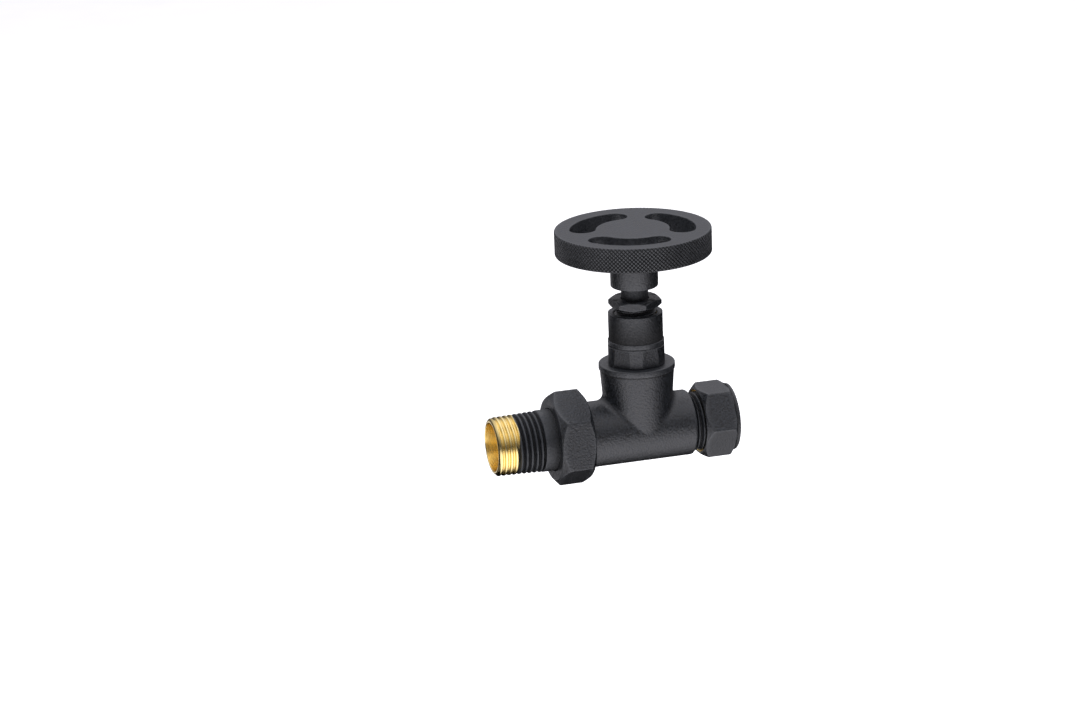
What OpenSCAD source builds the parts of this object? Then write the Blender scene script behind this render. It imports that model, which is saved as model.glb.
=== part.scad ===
// Straight wheel-head radiator valve: 15 mm compression inlet, 1/2 inch union tail.
// X runs along the pipe axis from the tail's open end, Z runs up the spindle axis.

/* [Placing] */
// Distance from the tail's open end to the spindle axis
spindle_x = 53; // [53:0.5:60]

/* [Body] */
// Radius of the body's horizontal run
run_r = 11.4; // [11.2:0.1:11.8]
// Radius of the boss where it meets the flange
boss_top_r = 12.85; // [12.6:0.05:13]
// Height of the flange's top face above the pipe axis
flange_top_z = 24.3; // [24.1:0.1:24.6]
// Radius of the flange on top of the boss
flange_r = 13.2; // [13.1:0.1:14]
// Radius of the socket for the 15 mm pipe
pipe_r = 7.6; // [7.5:0.05:7.65]
// Radius of the opening in the valve seat
orifice_r = 4.6; // [4:0.1:5]

/* [Bonnet] */
// Radius of the bonnet's plain upper barrel
bonnet_r = 9.4; // [9.2:0.1:9.6]
// Height of the bonnet's top face
bonnet_top_z = 42.2; // [41.8:0.1:42.4]
// Width across flats of the bonnet's hexagon
bonnet_af = 19.4; // [19.2:0.1:19.6]
// Width across flats of the gland nut
gland_af = 16.1; // [15.8:0.1:17.5]

/* [Spindle] */
// Radius of the spindle's plain stem
stem_r = 4.65; // [4.62:0.01:4.66]
// Radius over the spindle's lifting thread
lift_thread_r = 5.6; // [5.4:0.05:5.62]
// Gap between the open washer and the seat, less a closing allowance of 0.05
lift = 3.6; // [3:0.1:3.6]

/* [Handwheel] */
// Radius over the knurled rim
wheel_r = 26.9; // [26:0.1:28]
// Height of the wheel's flat top face
wheel_top_z = 71.8; // [71:0.1:73]
// Thickness of the wheel
wheel_t = 8.4; // [7.5:0.1:8.6]
// Radius of the hub under the wheel
hub_r = 8.2; // [7.8:0.1:9]
// Radius of the centre line of the curved slots
slot_mid_r = 17.1; // [16.5:0.1:17.5]
// Half the width of the curved slots
slot_half_w = 4.4; // [4:0.1:4.6]

/* [Union] */
// Mean radius of the tail's 1/2 inch taper thread
tail_thread_r = 10.4; // [10.3:0.05:10.5]
// Length of the tail's thread
tail_thread_l = 16.5; // [15:0.5:17]
// Width across flats of the union nut
union_af = 29.1; // [29:0.1:30]
// Radius of the union thread on the body
union_thread_r = 13.15; // [13.1:0.01:13.18]

/* [Compression end] */
// Width across flats of the compression nut
comp_af = 23.4; // [23.2:0.1:24]
// Radius of the compression thread on the body
comp_thread_r = 10.2; // [10.0:0.05:10.2]

/* [Hidden] */
$fn = 96;
eps = 0.01;
screw_gap = 0.1;      // radial room between two threads that turn on each other
slide_gap = 0.05;     // radial room between two plain round faces that slide
seat_allowance = 0.05;

// Body, along X from the spindle axis
body_face_x = -28;
union_thread_end_x = -20.9;
run_end_x = 17.2;
run_chamfer = 1;
neck_end_x = 18.9;
neck_r = 9.4;
body_mouth_x = 27;
pipe_stop_x = 11;
nose_bore_r = 9.1;
nose_bore_end_x = -21.5;
outlet_r = 7;
inlet_r = 6.8;
web_left_x = -8.5;
web_right_x = -6.8;
mouth_cone_l = 1.8;
mouth_cone_r = 8.9;

// Body, along Z
flange_t = 2.35;
boss_root_r = run_r - 0.2;
seat_floor_z = 0;
seat_plate_z = 1.5;
seat_ring_z = 2.1;
seat_ring_r = 6.2;
chamber_r = 8.6;
bonnet_thread_r = 9;
bonnet_thread_z = 13;
seal_recess_z = 22.6;
seal_recess_r = 9.35;

// Bonnet
bonnet_foot_z = 14.5;
bonnet_chamber_r = 7.4;
bonnet_chamber_z = 16.5;
backseat_z = 28.2;
collar_z = 31;
collar_top_z = 32.75;
collar_r = 9.7;
hex_root_r = 10.25;
hex_top_r = 10.1;
stuffing_r = 6.6;
stuffing_z = 34.6;
gland_thread_r = 7.35;
gland_thread_z = 38;
bonnet_hex_turn = 12;
stem_bore_r = stem_r + 0.07;

// Gland
washer_t = 0.7;
packing_top_z = 37.3;
follower_z = packing_top_z + slide_gap;
follower_t = 1.5;
gland_neck_z = follower_z + follower_t + slide_gap;
gland_hex_z = 44.3;
gland_top_z = 47.3;
gland_hex_turn = 36.4;
gland_chamfer = 0.85;
gland_chamfer_r = 1.4;

// Plug, at the open position
washer_z = seat_ring_z + lift + seat_allowance;
washer_h = 2.4;
washer_r = 6.2;
plug_lip_r = 6.9;
plug_lip_h = 1.15;
plug_disc_z = washer_z + washer_h;
plug_top_z = 9.8;
plug_stem_r = 2.45;
plug_stem_z = 16.6;
screw_r = 1.5;
screw_head_r = 2.7;
screw_head_h = 1.3;
screw_tip_z = 12.5;
clip_z = 14.5;
clip_t = 0.6;
clip_inner_r = 2.05;
clip_outer_r = 2.9;

// Spindle and wheel
spindle_foot_z = plug_top_z + 0.1;
nose_r = 4.4;
lift_thread_z = 13;
lift_thread_top_z = 27;
swivel_top_z = 17;
o_ring_z = 33.4;
hub_foot_z = 51.5;
spindle_top_z = 66;
grub_z = 57.5;
grub_r = 2;
grub_turn = 74;
grub_inner = 4.2;
grub_outer = 7.7;
slot_turn = 7.7;
slot_half_angle = 34;

// Union tail, along X from the spindle axis
tail_end_x = -spindle_x;
tail_rim_r = 9.2;
tail_mouth_r = 8.4;
tail_mouth_l = 8;
tail_key_af = 12;
tail_key_l = 9;
tail_bore_r = 6.5;
tail_stub_r = 10.7;
tail_collar_x = -30.1;
tail_collar_r = 12.7;
tail_nose_r = nose_bore_r - slide_gap;
tail_nose_x = -22.3;
tail_groove_x = -26.2;
tail_groove_w = 1.8;
tail_groove_r = 7.8;
tail_ring_r = 0.62;

// Union nut, along X from the spindle axis
union_x = -31.7;
union_end_x = -19.6;
union_edge_x = -29.4;
union_edge_end_x = -21.5;
union_corner_r = 16.8;
union_face_r = 14.2;
union_lip = 1.5;
union_turn = -4.5;

// Compression nut, along X from the spindle axis
comp_x = 21.2;
comp_edge_x = 23.2;
comp_edge_end_x = 31.2;
comp_shoulder_x = 32.1;
comp_end_x = 33.6;
comp_corner_r = 13.5;
comp_face_r = 11.4;
comp_collar_r = 11.7;
comp_collar_round = 0.4;
comp_turn = -28.5;
comp_mouth_step = 0.65;
comp_cone_x = 30;
comp_cone_r = 8.95;

// Olive, along X from the spindle axis
olive_x = 25.9;
olive_l = 5.5;
olive_end_r = 8.05;
olive_mid_r = 8.75;
olive_slope = 1.45;

// A solid turned about the pipe axis, from [radius, x] points
module turned_x(points) {
    rotate([0, 90, 0]) rotate_extrude() polygon(points);
}

// A cylinder on the pipe axis between two x places
module rod_x(r, x0, x1) {
    translate([x0, 0, 0]) rotate([0, 90, 0]) cylinder(r = r, h = x1 - x0);
}

// A cylinder on the spindle axis between two heights
module rod_z(r, z0, z1) {
    translate([0, 0, z0]) cylinder(r = r, h = z1 - z0);
}

// A flat ring on the spindle axis
module ring_z(outer, inner, z0, z1) {
    difference() {
        rod_z(outer, z0, z1);
        rod_z(inner, z0 - 1, z1 + 1);
    }
}

// A round seal on the spindle axis
module o_ring(mid_r, section_r) {
    rotate_extrude() translate([mid_r, 0]) circle(r = section_r);
}

// A six-sided bar on the spindle axis
module hex_z(af, z0, z1, turn) {
    translate([0, 0, z0]) rotate([0, 0, turn]) cylinder(r = af / sqrt(3), h = z1 - z0, $fn = 6);
}

// A six-sided bar on the pipe axis
module hex_x(af, x0, x1, turn) {
    translate([x0, 0, 0]) rotate([0, 90, 0]) rotate([0, 0, turn])
        cylinder(r = af / sqrt(3), h = x1 - x0, $fn = 6);
}

module at_spindle() {
    translate([spindle_x, 0, 0]) children();
}

// The tee-shaped outside of the body
module body_outside() {
    turned_x([
        [0, body_face_x], [union_thread_r - 0.8, body_face_x], [union_thread_r, body_face_x + 0.8],
        [union_thread_r, union_thread_end_x - 0.8], [run_r, union_thread_end_x + 0.4],
        [run_r, run_end_x], [run_r - run_chamfer, run_end_x + 1.2], [neck_r, run_end_x + 1.5],
        [neck_r, neck_end_x], [comp_thread_r, neck_end_x + 0.6],
        [comp_thread_r, body_mouth_x - 0.5], [comp_thread_r - 0.5, body_mouth_x], [0, body_mouth_x]
    ]);
    cylinder(r1 = boss_root_r, r2 = boss_top_r, h = flange_top_z - flange_t);
    rod_z(flange_r, flange_top_z - flange_t, flange_top_z);
}

// The waterways: outlet over the seat, inlet under it
module body_passages() {
    turned_x([
        [0, body_face_x - 1], [nose_bore_r, body_face_x - 1], [nose_bore_r, nose_bore_end_x],
        [outlet_r, nose_bore_end_x], [outlet_r, web_left_x], [0, web_left_x]
    ]);
    intersection() {
        rod_x(outlet_r, web_left_x - 1, 0);
        translate([-20, -20, seat_plate_z]) cube([40, 40, 20]);
    }
    rod_z(chamber_r, seat_plate_z, bonnet_thread_z + 1);
    rod_z(bonnet_thread_r + 0.02, bonnet_thread_z, flange_top_z);
    rod_z(seal_recess_r, seal_recess_z, flange_top_z + 1);
    rod_z(orifice_r, seat_floor_z - 1, seat_ring_z + 1);
    intersection() {
        rod_x(inlet_r, web_right_x, pipe_stop_x + 1);
        translate([-20, -20, -20]) cube([40, 40, 20 + seat_floor_z]);
    }
    turned_x([
        [0, pipe_stop_x], [pipe_r, pipe_stop_x], [pipe_r, body_mouth_x - mouth_cone_l],
        [mouth_cone_r, body_mouth_x], [mouth_cone_r, body_mouth_x + 1], [0, body_mouth_x + 1]
    ]);
}

module valve_body() {
    color("dimgray") at_spindle() {
        difference() {
            body_outside();
            body_passages();
        }
        ring_z(seat_ring_r, orifice_r, seat_plate_z - 0.5, seat_ring_z);
    }
}

module bonnet() {
    color("dimgray") at_spindle() difference() {
        union() {
            rod_z(bonnet_thread_r, bonnet_foot_z, seal_recess_z);
            rod_z(bonnet_thread_r - 1, seal_recess_z - 1, flange_top_z + 1);
            intersection() {
                hex_z(bonnet_af, flange_top_z, collar_z, bonnet_hex_turn);
                translate([0, 0, flange_top_z])
                    cylinder(r1 = hex_root_r, r2 = hex_top_r, h = collar_z - flange_top_z);
            }
            rod_z(collar_r, collar_z, collar_top_z);
            rod_z(bonnet_r, collar_top_z - 1, bonnet_top_z);
        }
        rod_z(bonnet_chamber_r, bonnet_foot_z - 1, bonnet_chamber_z);
        rod_z(lift_thread_r + slide_gap, bonnet_foot_z, backseat_z);
        rod_z(stem_bore_r, backseat_z - 1, stuffing_z + 1);
        rod_z(stuffing_r, stuffing_z, bonnet_top_z);
        rod_z(gland_thread_r, gland_thread_z, bonnet_top_z + 1);
    }
}

module bonnet_seal() {
    seal_mid_r = (seal_recess_r + bonnet_thread_r - 1) / 2;
    seal_section_r = (seal_recess_r - bonnet_thread_r + 1) / 2 - eps;
    color("black") translate([spindle_x, 0, (seal_recess_z + flange_top_z) / 2])
        o_ring(seal_mid_r, seal_section_r);
}

module packing_washer() {
    color("goldenrod") at_spindle()
        ring_z(stuffing_r - slide_gap, stem_bore_r, stuffing_z, stuffing_z + washer_t);
}

module gland_packing() {
    color("black") at_spindle()
        ring_z(stuffing_r - eps, stem_r + 0.03, stuffing_z + washer_t, packing_top_z);
}

module gland_follower() {
    color("goldenrod") at_spindle()
        ring_z(stuffing_r - slide_gap, stem_bore_r, follower_z, follower_z + follower_t);
}

module gland_nut() {
    corner_r = gland_af / sqrt(3) - 0.05;
    color("dimgray") at_spindle() difference() {
        union() {
            rod_z(gland_thread_r - slide_gap, gland_neck_z, gland_hex_z + 1);
            intersection() {
                hex_z(gland_af, gland_hex_z, gland_top_z, gland_hex_turn);
                rotate_extrude() polygon([
                    [0, gland_hex_z], [corner_r - gland_chamfer_r, gland_hex_z],
                    [corner_r, gland_hex_z + gland_chamfer], [corner_r, gland_top_z - gland_chamfer],
                    [corner_r - gland_chamfer_r, gland_top_z], [0, gland_top_z]
                ]);
            }
        }
        rod_z(stem_bore_r, gland_neck_z - 1, gland_top_z + 1);
    }
}

// The disc that carries the washer, with the stem that turns in the spindle
module plug() {
    color("goldenrod") at_spindle() difference() {
        rotate_extrude() polygon([
            [0, plug_disc_z], [washer_r, plug_disc_z], [washer_r, plug_disc_z - plug_lip_h],
            [plug_lip_r, plug_disc_z - plug_lip_h], [plug_lip_r, plug_top_z - 0.3],
            [plug_lip_r - 0.3, plug_top_z], [plug_stem_r, plug_top_z], [plug_stem_r, clip_z],
            [clip_inner_r, clip_z], [clip_inner_r, clip_z + clip_t], [plug_stem_r, clip_z + clip_t],
            [plug_stem_r, plug_stem_z - 0.4], [plug_stem_r - 0.4, plug_stem_z], [0, plug_stem_z]
        ]);
        rod_z(screw_r, plug_disc_z - 1, screw_tip_z);
    }
}

module plug_clip() {
    color("silver") at_spindle() difference() {
        ring_z(clip_outer_r, clip_inner_r, clip_z + 0.02, clip_z + clip_t - 0.02);
        translate([0, -0.8, clip_z - 1]) cube([4, 1.6, 3]);
    }
}

module seat_washer() {
    color("black") at_spindle() ring_z(washer_r - eps, screw_r + slide_gap, washer_z, plug_disc_z);
}

module washer_screw() {
    color("goldenrod") at_spindle() difference() {
        union() {
            rod_z(screw_head_r, washer_z - screw_head_h, washer_z);
            rod_z(screw_r - eps, washer_z - eps, screw_tip_z - 0.2);
        }
        translate([-4, -0.4, washer_z - screw_head_h - 1]) cube([8, 0.8, 1.7]);
    }
}

module spindle() {
    color("dimgray") at_spindle() difference() {
        rotate_extrude() polygon([
            [0, spindle_foot_z], [nose_r, spindle_foot_z], [nose_r, lift_thread_z - 1],
            [lift_thread_r, lift_thread_z], [lift_thread_r, lift_thread_top_z - 0.9],
            [stem_r, lift_thread_top_z], [stem_r, o_ring_z - 0.8], [stem_r - 1.15, o_ring_z - 0.8],
            [stem_r - 1.15, o_ring_z + 0.8], [stem_r, o_ring_z + 0.8],
            [stem_r, spindle_top_z - 0.5], [stem_r - 0.5, spindle_top_z], [0, spindle_top_z]
        ]);
        rod_z(plug_stem_r + slide_gap, spindle_foot_z - 1, swivel_top_z);
        rod_z(clip_outer_r + 0.1, clip_z - 0.15, clip_z + clip_t + 0.15);
        grub_place() rod_z(grub_r + 0.1, grub_inner, stem_r + 1);
    }
}

module spindle_o_ring() {
    color("black") translate([spindle_x, 0, o_ring_z]) o_ring(stem_r - 0.57, 0.57);
}

// Puts children, drawn along Z, on the grub screw's axis through the hub
module grub_place() {
    translate([0, 0, grub_z]) rotate([0, 90, grub_turn]) children();
}

// One curved slot with round ends, in the plane of the wheel
module slot_outline() {
    reach = 2 * wheel_r;
    intersection() {
        difference() {
            circle(r = slot_mid_r + slot_half_w);
            circle(r = slot_mid_r - slot_half_w);
        }
        polygon([
            [0, 0],
            reach * [cos(-slot_half_angle), sin(-slot_half_angle)],
            [reach, 0],
            reach * [cos(slot_half_angle), sin(slot_half_angle)]
        ]);
    }
    for (side = [-1, 1])
        rotate(side * slot_half_angle) translate([slot_mid_r, 0]) circle(r = slot_half_w - 0.03);
}

module handwheel() {
    wheel_foot_z = wheel_top_z - wheel_t;
    color("dimgray") at_spindle() difference() {
        union() {
            rotate_extrude() polygon([
                [0, wheel_foot_z], [wheel_r - 0.3, wheel_foot_z], [wheel_r, wheel_foot_z + 0.3],
                [wheel_r, wheel_top_z - 0.3], [wheel_r - 0.3, wheel_top_z], [0, wheel_top_z]
            ]);
            rod_z(hub_r, hub_foot_z, wheel_foot_z + 1);
        }
        for (i = [0:2])
            translate([0, 0, wheel_foot_z - 1]) rotate([0, 0, slot_turn + 120 * i])
                linear_extrude(height = wheel_t + 2) slot_outline();
        rod_z(stem_r + 0.02, hub_foot_z - 1, spindle_top_z + 0.2);
        grub_place() rod_z(grub_r, 1, hub_r + 1);
    }
}

module hub_grub_screw() {
    color("silver") at_spindle() grub_place() difference() {
        rod_z(grub_r - 0.02, grub_inner + 0.02, grub_outer);
        translate([0, 0, grub_outer - 1.6]) cylinder(r = 1.15, h = 3, $fn = 6);
    }
}

module tailpiece() {
    thread_end_x = tail_end_x + tail_thread_l;
    color("goldenrod") at_spindle() difference() {
        turned_x([
            [0, tail_end_x], [tail_rim_r, tail_end_x], [tail_thread_r, tail_end_x + 0.8],
            [tail_thread_r, thread_end_x], [tail_stub_r, thread_end_x + 0.3],
            [tail_stub_r, tail_collar_x], [tail_collar_r, tail_collar_x],
            [tail_collar_r, body_face_x - 0.1], [tail_nose_r, body_face_x - 0.1],
            [tail_nose_r, tail_groove_x], [tail_groove_r, tail_groove_x],
            [tail_groove_r, tail_groove_x + tail_groove_w],
            [tail_nose_r, tail_groove_x + tail_groove_w],
            [tail_nose_r, tail_nose_x - 0.6], [tail_nose_r - 0.6, tail_nose_x], [0, tail_nose_x]
        ]);
        rod_x(tail_mouth_r, tail_end_x - 1, tail_end_x + tail_mouth_l);
        hex_x(tail_key_af, tail_end_x + tail_mouth_l - 1, tail_end_x + tail_mouth_l + tail_key_l, 0);
        rod_x(tail_bore_r, tail_end_x + tail_mouth_l + tail_key_l - 1, tail_nose_x + 1);
    }
}

module tail_o_ring() {
    color("black") at_spindle() translate([tail_groove_x + tail_groove_w / 2, 0, 0])
        rotate([0, 90, 0]) o_ring(tail_nose_r + 0.02 - tail_ring_r, tail_ring_r);
}

module union_nut() {
    bore_r = union_thread_r + screw_gap;
    color("dimgray") at_spindle() difference() {
        intersection() {
            hex_x(union_af, union_x, union_end_x, union_turn);
            turned_x([
                [0, union_x], [union_face_r, union_x], [union_corner_r, union_edge_x],
                [union_corner_r, union_edge_end_x], [union_face_r, union_end_x], [0, union_end_x]
            ]);
        }
        rod_x(tail_stub_r + screw_gap, union_x - 1, union_end_x);
        turned_x([
            [0, union_x + union_lip], [bore_r, union_x + union_lip], [bore_r, union_end_x - 0.5],
            [bore_r + 0.5, union_end_x], [bore_r + 0.5, union_end_x + 1], [0, union_end_x + 1]
        ]);
    }
}

// The soft ring that the compression nut squeezes onto the pipe
module olive() {
    color("goldenrod") at_spindle() difference() {
        turned_x([
            [0, olive_x], [olive_end_r, olive_x], [olive_mid_r, olive_x + olive_slope],
            [olive_mid_r, olive_x + olive_l - olive_slope], [olive_end_r, olive_x + olive_l],
            [0, olive_x + olive_l]
        ]);
        rod_x(pipe_r, olive_x - 1, olive_x + olive_l + 1);
    }
}

module compression_nut() {
    bore_r = comp_thread_r + screw_gap - 0.02;
    color("dimgray") at_spindle() difference() {
        union() {
            intersection() {
                hex_x(comp_af, comp_x, comp_shoulder_x, comp_turn);
                turned_x([
                    [0, comp_x], [comp_face_r, comp_x], [comp_corner_r, comp_edge_x],
                    [comp_corner_r, comp_edge_end_x], [comp_corner_r - 1.5, comp_shoulder_x],
                    [0, comp_shoulder_x]
                ]);
            }
            turned_x([
                [0, comp_shoulder_x - 1], [comp_collar_r - 0.3, comp_shoulder_x - 1],
                [comp_collar_r, comp_shoulder_x], [comp_collar_r, comp_end_x - comp_collar_round],
                [comp_collar_r - comp_collar_round, comp_end_x], [0, comp_end_x]
            ]);
        }
        turned_x([
            [0, comp_x - 1], [bore_r + comp_mouth_step, comp_x - 1],
            [bore_r + comp_mouth_step, comp_x], [bore_r, comp_x + comp_mouth_step],
            [bore_r, comp_cone_x], [comp_cone_r, comp_cone_x],
            [pipe_r, comp_cone_x + 2.2], [pipe_r, comp_end_x + 1], [0, comp_end_x + 1]
        ]);
    }
}

valve_body();
bonnet();
bonnet_seal();
packing_washer();
gland_packing();
gland_follower();
gland_nut();
plug();
plug_clip();
seat_washer();
washer_screw();
spindle();
spindle_o_ring();
handwheel();
hub_grub_screw();
tailpiece();
tail_o_ring();
union_nut();
olive();
compression_nut();
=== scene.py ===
"""Looks of a straight radiator valve: body, union tail, nuts, bonnet and knurled handwheel."""

import math

import bmesh
import bpy
import numpy as np
from mathutils import Matrix, Vector


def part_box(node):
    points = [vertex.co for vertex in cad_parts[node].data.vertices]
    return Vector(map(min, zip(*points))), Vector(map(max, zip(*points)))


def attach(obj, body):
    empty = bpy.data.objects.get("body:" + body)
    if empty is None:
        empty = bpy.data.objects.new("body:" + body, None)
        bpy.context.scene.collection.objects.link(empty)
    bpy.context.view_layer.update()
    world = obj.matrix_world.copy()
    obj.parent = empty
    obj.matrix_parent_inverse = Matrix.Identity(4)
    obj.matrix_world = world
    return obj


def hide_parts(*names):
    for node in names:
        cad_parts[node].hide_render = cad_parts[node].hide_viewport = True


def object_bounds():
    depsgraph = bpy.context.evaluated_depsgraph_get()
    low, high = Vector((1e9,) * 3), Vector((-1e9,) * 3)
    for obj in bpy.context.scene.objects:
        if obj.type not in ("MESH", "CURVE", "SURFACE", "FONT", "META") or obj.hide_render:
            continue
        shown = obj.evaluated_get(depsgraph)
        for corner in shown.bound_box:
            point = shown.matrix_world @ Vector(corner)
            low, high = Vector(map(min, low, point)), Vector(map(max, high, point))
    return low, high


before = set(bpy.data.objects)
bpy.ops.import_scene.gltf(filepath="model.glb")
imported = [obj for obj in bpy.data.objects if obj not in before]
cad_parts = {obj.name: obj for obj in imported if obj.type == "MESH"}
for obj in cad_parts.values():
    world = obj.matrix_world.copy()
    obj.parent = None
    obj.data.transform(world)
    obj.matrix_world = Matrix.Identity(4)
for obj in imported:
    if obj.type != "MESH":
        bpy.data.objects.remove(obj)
cad_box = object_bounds()

MM = 0.001
TAU = 2 * math.pi
SEGMENTS = 240

# Shapes are drawn in millimetres from the crossing of the pipe axis (X) and the spindle axis (Z)
spindle_low, spindle_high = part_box("spindle")
AXES_CROSSING = Vector(((spindle_low.x + spindle_high.x) / 2, 0, 0))


def span(name):
    """A CAD node's lowest and highest corners, in millimetres from the axes' crossing."""
    low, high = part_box(name)
    return (low - AXES_CROSSING) / MM, (high - AXES_CROSSING) / MM


# ---------------------------------------------------------------- mesh helpers


def ring_angles(turn=0.0, count=SEGMENTS):
    """Evenly spaced angles, in radians, with the first at turn degrees."""
    return math.radians(turn) + TAU * np.arange(count) / count


def on_axis(axis, along, radius, angles):
    """Points at a distance along an axis, at a radius and a right-handed angle round it."""
    along, radius, angles = np.broadcast_arrays(along, radius, angles)
    if axis == "X":
        return np.stack([along, radius * np.sin(angles), -radius * np.cos(angles)], -1)
    return np.stack([radius * np.cos(angles), radius * np.sin(angles), along], -1)


def new_piece(name, points, faces):
    """A mesh object from points in millimetres, with its faces turned outward."""
    mesh = bpy.data.meshes.new(name)
    world = np.asarray(points) * MM + np.array(AXES_CROSSING)
    mesh.from_pydata(world.tolist(), [], faces)
    shape = bmesh.new()
    shape.from_mesh(mesh)
    bmesh.ops.recalc_face_normals(shape, faces=shape.faces)
    shape.to_mesh(mesh)
    shape.free()
    piece = bpy.data.objects.new(name, mesh)
    bpy.context.scene.collection.objects.link(piece)
    return piece


def split_quad(quad, height):
    """Two triangles that share the quad's flatter diagonal."""
    a, b, c, d = quad
    if abs(height[a] - height[c]) <= abs(height[b] - height[d]):
        return [(a, b, c), (a, c, d)]
    return [(a, b, d), (b, c, d)]


def turned(name, rings, axis, angles, triangles=False):
    """A solid of rings round an axis, each (along, radius) as numbers or arrays over the angles.

    A first or last ring of radius 0 closes that end on the axis. With both ends off the axis,
    the last ring joins the first, as on a tube.
    """
    count = len(angles)
    along = np.array([np.broadcast_to(a, count) for a, _ in rings], float)
    radius = np.array([np.broadcast_to(r, count) for _, r in rings], float)
    points = on_axis(axis, along, radius, angles).reshape(-1, 3)
    height = radius.ravel()
    ring_index = np.arange(len(rings) * count).reshape(len(rings), count)
    open_low = radius[0].max() > 0
    open_high = radius[-1].max() > 0
    body = ring_index[0 if open_low else 1: None if open_high else -1]
    lower, upper = (body, np.roll(body, -1, 0)) if open_low and open_high else (body[:-1], body[1:])
    quads = np.stack([lower, np.roll(lower, -1, 1), np.roll(upper, -1, 1), upper], -1).reshape(-1, 4)
    faces = [tuple(q) for q in quads.tolist()]
    if triangles:
        faces = [t for q in faces for t in split_quad(q, height)]
    for closed, tip, ring in ((not open_low, ring_index[0, 0], body[0]),
                              (not open_high, ring_index[-1, 0], body[-1])):
        if closed:
            faces += [(int(tip), int(p), int(q)) for p, q in zip(ring, np.roll(ring, -1))]
    used = np.unique(np.concatenate([np.array(f) for f in faces]))
    renumber = np.zeros(len(points), int)
    renumber[used] = np.arange(len(used))
    return new_piece(name, points[used], [tuple(int(renumber[i]) for i in f) for f in faces])


def rounded(corners, steps=4):
    """An outline's points from (along, radius, rounding) corners, with arcs at the rounded ones."""
    outline = []
    for i, (along, radius, rounding) in enumerate(corners):
        here = Vector((along, radius))
        if rounding == 0 or i in (0, len(corners) - 1):
            outline.append(tuple(here))
            continue
        before = (Vector(corners[i - 1][:2]) - here).normalized()
        after = (Vector(corners[i + 1][:2]) - here).normalized()
        half = before.angle(after) / 2
        reach = rounding / math.tan(half)
        centre = here + (before + after).normalized() * rounding / math.sin(half)
        start = here + before * reach - centre
        end = here + after * reach - centre
        for k in range(steps + 1):
            spoke = start.normalized().slerp(end.normalized(), k / steps)
            outline.append(tuple(centre + spoke * rounding))
    return outline


def lofted(name, loops):
    """A closed solid through loops with the same number of points, capped at both ends."""
    count = len(loops[0])
    index = np.arange(len(loops) * count).reshape(len(loops), count)
    lower, upper = index[:-1], index[1:]
    quads = np.stack([lower, np.roll(lower, -1, 1), np.roll(upper, -1, 1), upper], -1).reshape(-1, 4)
    faces = [tuple(q) for q in quads.tolist()] + [tuple(index[0].tolist()), tuple(index[-1].tolist())]
    return new_piece(name, np.concatenate(loops), faces)


def apply_modifiers(piece):
    """Bakes a piece's modifiers into its mesh."""
    depsgraph = bpy.context.evaluated_depsgraph_get()
    mesh = bpy.data.meshes.new_from_object(piece.evaluated_get(depsgraph))
    mesh.materials.clear()
    piece.modifiers.clear()
    piece.data = mesh


def carve(piece, tools, operation="DIFFERENCE"):
    """Cuts the tools out of a piece, or joins them to it, and removes them."""
    for tool in tools:
        step = piece.modifiers.new(tool.name, "BOOLEAN")
        step.operation = operation
        step.solver = "MANIFOLD"
        step.object = tool
    apply_modifiers(piece)
    for tool in tools:
        bpy.data.objects.remove(tool)
    return piece


FLAT_LIMIT = 250.0      # curvature, per metre, that still counts as flat
EDGE_LIMIT = 2500.0     # and that of a full edge


def mark_edges(mesh):
    """Stores at each point how sharply the surface bulges (edge) or sinks (hollow), from 0 to 1."""
    count = len(mesh.vertices)
    places = np.empty(count * 3)
    mesh.vertices.foreach_get("co", places)
    places = places.reshape(-1, 3)
    normals = np.empty(count * 3)
    mesh.vertex_normals.foreach_get("vector", normals)
    normals = normals.reshape(-1, 3)
    ends = np.empty(len(mesh.edges) * 2, int)
    mesh.edges.foreach_get("vertices", ends)
    start, end = ends.reshape(-1, 2).T
    gap = places[end] - places[start]
    bulge = np.einsum("ij,ij->i", normals[end] - normals[start], gap)
    bulge /= np.maximum(np.einsum("ij,ij->i", gap, gap), (0.02 * MM) ** 2)
    for name, side in (("edge", bulge), ("hollow", -bulge)):
        strongest = np.zeros(count)
        np.maximum.at(strongest, start, side)
        np.maximum.at(strongest, end, side)
        share = np.clip((strongest - FLAT_LIMIT) / (EDGE_LIMIT - FLAT_LIMIT), 0, 1)
        mesh.attributes.new(name, "FLOAT", "POINT").data.foreach_set("value", share)


def finish_piece(piece, body, nodes, materials, crease=28.0):
    """Shades a piece, gives it its materials and hands it to the frame.

    crease is the angle, in degrees, above which an edge shades sharp.
    """
    mesh = piece.data
    mesh.shade_smooth()
    mesh.set_sharp_from_angle(angle=math.radians(crease))
    mark_edges(mesh)
    for material in materials:
        mesh.materials.append(material)
    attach(piece, body)
    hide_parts(*nodes)
    return piece


def paint(piece, rule):
    """Gives each face the material number that the rule works out from its centre, in millimetres."""
    mesh = piece.data
    centres = np.empty(len(mesh.polygons) * 3)
    mesh.polygons.foreach_get("center", centres)
    centres = (centres.reshape(-1, 3) - np.array(AXES_CROSSING)) / MM
    mesh.polygons.foreach_set("material_index", rule(centres).astype(int))
    mesh.update()


# ---------------------------------------------------------------- threads and hexagons

PITCH = 1.814           # 1/2 inch and 3/4 inch pipe threads: 14 to the inch
THREAD_STEP = 0.13      # between a thread's rings
# 55 degree pipe thread form, as fractions of the pitch
THREAD_ROUND = 0.1373   # radius of crest and root
THREAD_DEPTH = 0.6403
FLANK_SLOPE = 1.921
ROUND_END = 0.1218      # where the rounding meets the flank
CREST_SOFT = 0.16       # rounding at the edge of a worn crest, in millimetres


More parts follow.
